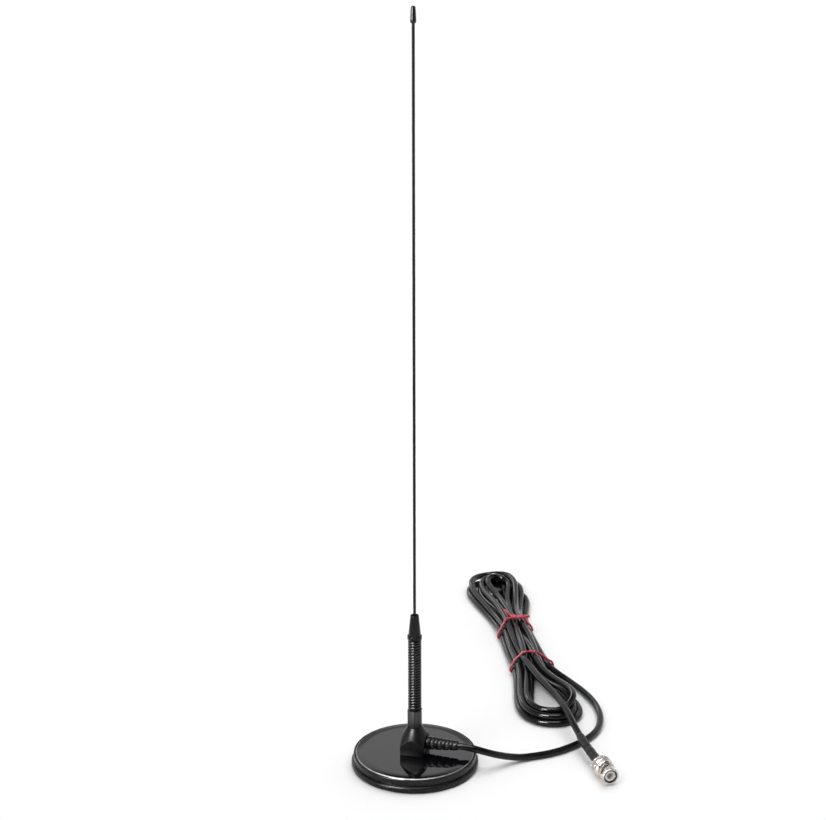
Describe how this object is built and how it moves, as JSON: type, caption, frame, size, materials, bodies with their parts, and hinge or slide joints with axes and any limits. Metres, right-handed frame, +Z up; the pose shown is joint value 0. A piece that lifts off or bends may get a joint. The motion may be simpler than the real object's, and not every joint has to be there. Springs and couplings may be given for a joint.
{
  "type": "omnidirectional antenna",
  "caption": "Magnetic-mount whip antenna with a flex spring on a round rubber-edged base, its coaxial lead tied in a hank and ending in a bayonet plug.",
  "frame": {"origin": "centre of the round base on the surface that it stands on", "axes": "+Z up along the whip, +X towards the side that the cable leaves by, -Y to the front"},
  "size_m": [0.1864, 0.379, 0.5317],
  "materials": {
    "rubber": "satin moulded rubber",
    "plate_gloss": "high-gloss black lacquer",
    "ferrite": "matte sintered ferrite",
    "housing_plastic": "satin black moulding",
    "zinc_steel": "zinc plated",
    "brass": "machined",
    "tinned_copper": "tinned",
    "white_insulation": "waxy white",
    "satin_metal": "satin black coating",
    "black_chrome": "polished black chrome",
    "whip_black": "gloss black coating",
    "cap_black": "gloss black",
    "cable_jacket": "satin PVC",
    "heat_shrink": "matte",
    "tie_red": "crinkled coated wire",
    "nickel": "bright nickel plating",
    "gold": "gold plated",
    "silicone": "matte silicone"
  },
  "bodies": {
    "base": {"rubber_boot": "rubber", "bottom_pad": "rubber", "top_plate": "plate_gloss", "ring_magnet": "ferrite", "feed_housing": "housing_plastic", "strain_relief": "housing_plastic", "housing_screw_front": "zinc_steel", "housing_screw_rear": "zinc_steel", "feed_stud": "brass", "solder_tag": "tinned_copper", "centre_conductor": "tinned_copper", "braid_pigtail": "tinned_copper", "coax_dielectric": "white_insulation", "bnc_insulator": "white_insulation", "cable_lead": "cable_jacket", "cable_tail": "cable_jacket", "cable_hank": "cable_jacket", "tie_upper": "tie_red", "tie_lower": "tie_red", "heat_shrink": "heat_shrink", "bnc_crimp_ferrule": "nickel", "bnc_body": "nickel", "bnc_centre_pin": "gold", "bnc_gasket": "silicone"},
    "mast": {"lower_ferrule": "satin_metal", "flex_spring": "black_chrome", "spring_braid": "tinned_copper"},
    "whip_head": {"upper_ferrule": "black_chrome", "whip_set_screw": "zinc_steel"},
    "whip": {"whip_rod": "whip_black", "tip_cap": "cap_black"},
    "plug_washer": {"bnc_thrust_washer": "zinc_steel"},
    "plug_nut": {"bnc_coupling_nut": "nickel"}
  },
  "joints": [
    {"name": "mast_turn", "type": "hinge", "parent": "base", "child": "mast", "pos_m": [0, 0, 0.0299], "axis": [0, 0, 1], "continuous": true},
    {"name": "spring_flex", "type": "hinge", "parent": "mast", "child": "whip_head", "pos_m": [0, 0, 0.0696], "axis": [0, 1, 0], "range_deg": [-60, 60], "stiffness_Nm_per_rad": 0.15, "deforming": ["flex_spring", "spring_braid"]},
    {"name": "whip_tune", "type": "slide", "parent": "whip_head", "child": "whip", "axis": [0, 0, 1], "range_m": [0, 0.01]},
    {"name": "plug_nut_pull", "type": "slide", "parent": "base", "child": "plug_washer", "axis": [0.29, -0.957, 0], "range_m": [0, 0.001], "stiffness_N_per_m": 1500},
    {"name": "plug_nut_turn", "type": "hinge", "parent": "plug_washer", "child": "plug_nut", "pos_m": [0.1304, -0.016, 0.00725], "axis": [0.29, -0.957, 0], "continuous": true}
  ]
}
